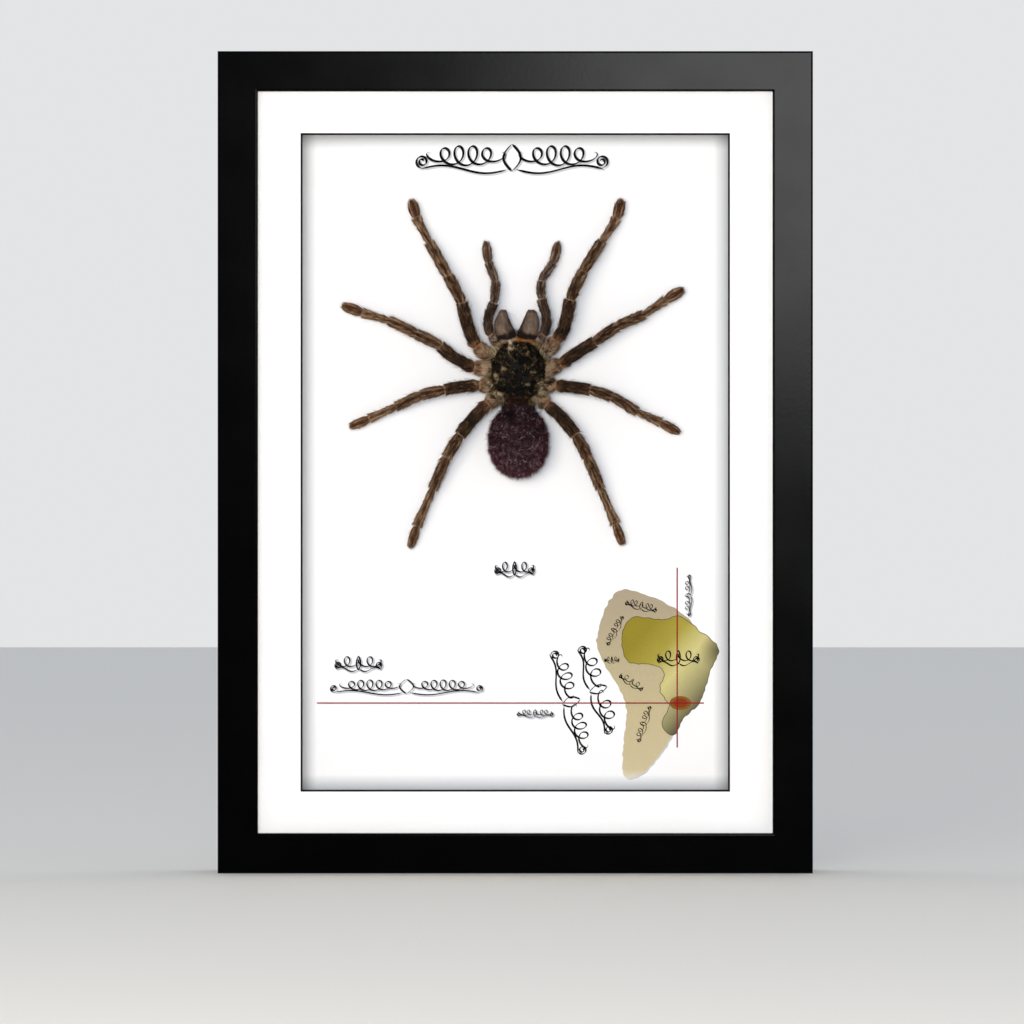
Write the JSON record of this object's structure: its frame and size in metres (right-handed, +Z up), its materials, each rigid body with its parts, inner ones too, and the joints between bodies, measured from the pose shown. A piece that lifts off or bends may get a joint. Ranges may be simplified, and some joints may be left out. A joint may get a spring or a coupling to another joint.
{
  "type": "framed tarantula specimen",
  "caption": "Dried tarantula mounted on a printed white card behind a white window mat and glass, in a deep black box frame that stands or hangs.",
  "frame": {"origin": "middle of the frame's outer box at the underside of the bottom rail", "axes": "+Z up the frame, +X to the viewer's right, -Y towards the viewer, so the glass faces -Y"},
  "size_m": [0.236, 0.035, 0.326],
  "materials": {
    "black_lacquer": "satin black lacquer on a moulded wood rail",
    "clear_glass": "clear float glass",
    "mat_board": "white paperboard with a black core",
    "card_paper": "smooth white printed card",
    "foam_board": "white foam board",
    "hardboard": "brown hardboard",
    "point_steel": "bare steel strip",
    "hanger_brass": "brass-plated steel",
    "carapace_hair": "dark cuticle under short tan and black hair",
    "abdomen_wool": "dark plum woolly hair",
    "chelicera_hair": "short grey-brown velvet hair",
    "pedipalp_hair": "brown hair",
    "leg_hair": "brown-black hair with paler stripes"
  },
  "bodies": {
    "root": {"rail_bottom": "black_lacquer", "rail_left": "black_lacquer", "rail_top": "black_lacquer", "rail_right": "black_lacquer", "glass_pane": "clear_glass", "mat": "mat_board", "specimen_card": "card_paper", "back_board": "hardboard", "spacer_left": "foam_board", "spacer_right": "foam_board", "spacer_top": "foam_board", "spacer_bottom": "foam_board", "point_left_1": "point_steel", "point_right_1": "point_steel", "point_left_2": "point_steel", "point_right_2": "point_steel", "point_left_3": "point_steel", "point_right_3": "point_steel", "point_bottom_1": "point_steel", "point_top_1": "point_steel", "point_bottom_2": "point_steel", "point_top_2": "point_steel", "sawtooth_hanger": "hanger_brass", "hanger_rivet_left": "hanger_brass", "hanger_rivet_right": "hanger_brass", "cephalothorax": "carapace_hair", "abdomen": "abdomen_wool", "chelicera_left": "chelicera_hair", "chelicera_right": "chelicera_hair", "pedipalp_left": "pedipalp_hair", "pedipalp_right": "pedipalp_hair", "leg_1_left": "leg_hair", "leg_2_left": "leg_hair", "leg_3_left": "leg_hair", "leg_4_left": "leg_hair", "leg_1_right": "leg_hair", "leg_2_right": "leg_hair", "leg_3_right": "leg_hair", "leg_4_right": "leg_hair"}
  },
  "joints": []
}
